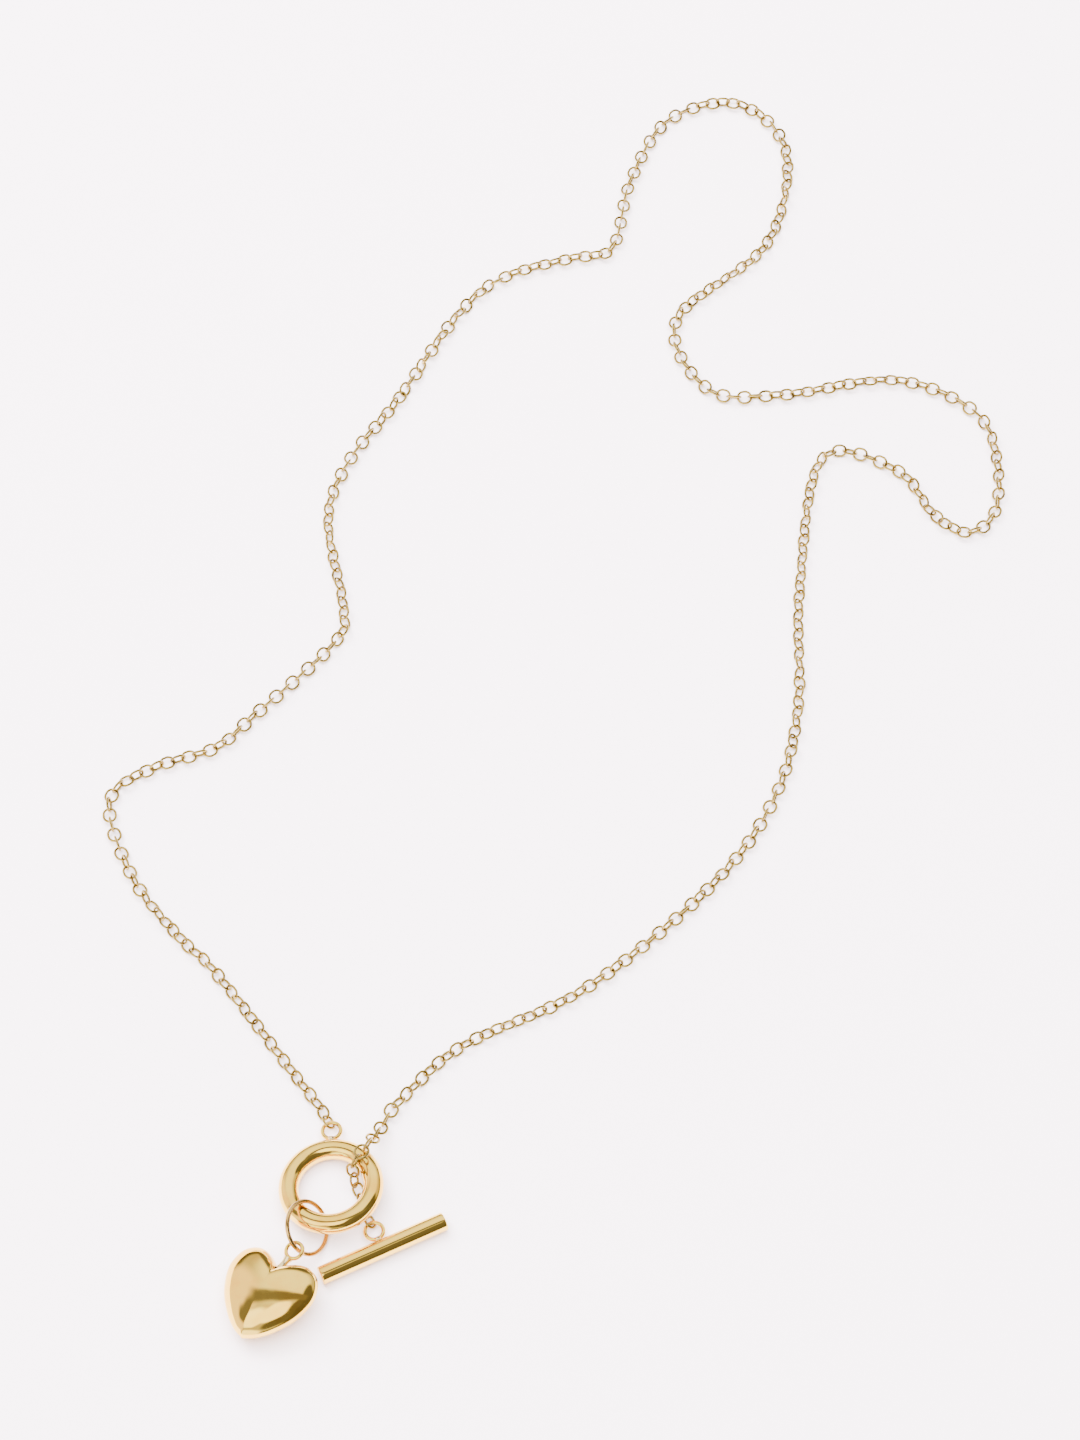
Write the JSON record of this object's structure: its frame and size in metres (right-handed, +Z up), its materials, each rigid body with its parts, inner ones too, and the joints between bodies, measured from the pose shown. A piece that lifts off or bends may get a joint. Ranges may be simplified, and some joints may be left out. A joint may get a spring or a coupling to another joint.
{
  "type": "pendant necklace",
  "caption": "Gold-tone cable chain closed by a ring and T-bar toggle clasp, with a puffed heart charm hanging from the clasp ring on a split jump ring.",
  "frame": {"origin": "on the surface the necklace lies on, at the bottom centre of the box around the clasp, the heart and the separate end links", "axes": "+Z up from the surface, +Y from the heart across the clasp ring to the chain, +X to the right of that, towards the bar"},
  "size_m": [0.1279, 0.1991, 0.006],
  "materials": {
    "polished_gold": "mirror-polished gold plating",
    "chain_gold": "bright gold plating on fine drawn wire"
  },
  "bodies": {
    "clasp": {"chain_run": "chain_gold", "link_bar_end_02": "chain_gold", "link_bar_end_03": "chain_gold", "link_bar_end_04": "chain_gold", "link_bar_end_05": "chain_gold", "link_bar_end_06": "chain_gold", "link_bar_end_07": "chain_gold", "link_bar_end_08": "chain_gold", "link_bar_end_09": "chain_gold", "link_bar_end_10": "chain_gold", "link_bar_end_11": "chain_gold", "link_bar_end_12": "chain_gold", "link_bar_end_13": "chain_gold", "link_bar_end_14": "chain_gold", "link_ring_end_02": "chain_gold", "link_ring_end_03": "chain_gold", "link_ring_end_04": "chain_gold", "toggle_ring": "polished_gold", "toggle_ring_eye": "polished_gold"},
    "ring_link": {"link_ring_end_01": "chain_gold"},
    "bar_link": {"link_bar_end_01": "chain_gold"},
    "bar": {"toggle_bar": "polished_gold", "toggle_bar_eye": "polished_gold"},
    "charm_ring": {"charm_jump_ring": "polished_gold"},
    "heart": {"heart_front_shell": "polished_gold", "heart_back_shell": "polished_gold", "heart_bail": "polished_gold", "heart_bail_post": "polished_gold"}
  },
  "joints": [
    {"name": "charm_swing", "type": "hinge", "parent": "clasp", "child": "charm_ring", "pos_m": [-0.00384, -0.00156, 0.00277], "axis": [-0.8601, 0.4897, -0.1429], "range_deg": [0, 35]},
    {"name": "heart_swing", "type": "hinge", "parent": "charm_ring", "child": "heart", "pos_m": [-0.00534, -0.00582, 0.00364], "axis": [-0.865, 0.457, -0.2074], "range_deg": [0, 20]},
    {"name": "bar_swing", "type": "hinge", "parent": "clasp", "child": "bar", "pos_m": [0.00477, -0.00248, 0.00103], "axis": [0, 0, 1], "range_deg": [-8, 8]},
    {"name": "ring_link_roll", "type": "hinge", "parent": "clasp", "child": "ring_link", "pos_m": [-0.0016, 0.01305, 0.00095], "axis": [-0.4454, 0.8953, 0], "range_deg": [-3, 12]},
    {"name": "bar_link_roll", "type": "hinge", "parent": "clasp", "child": "bar_link", "pos_m": [0.00415, -0.00106, 0.00093], "axis": [-0.3705, 0.9271, -0.0569], "range_deg": [-4, 10]}
  ]
}
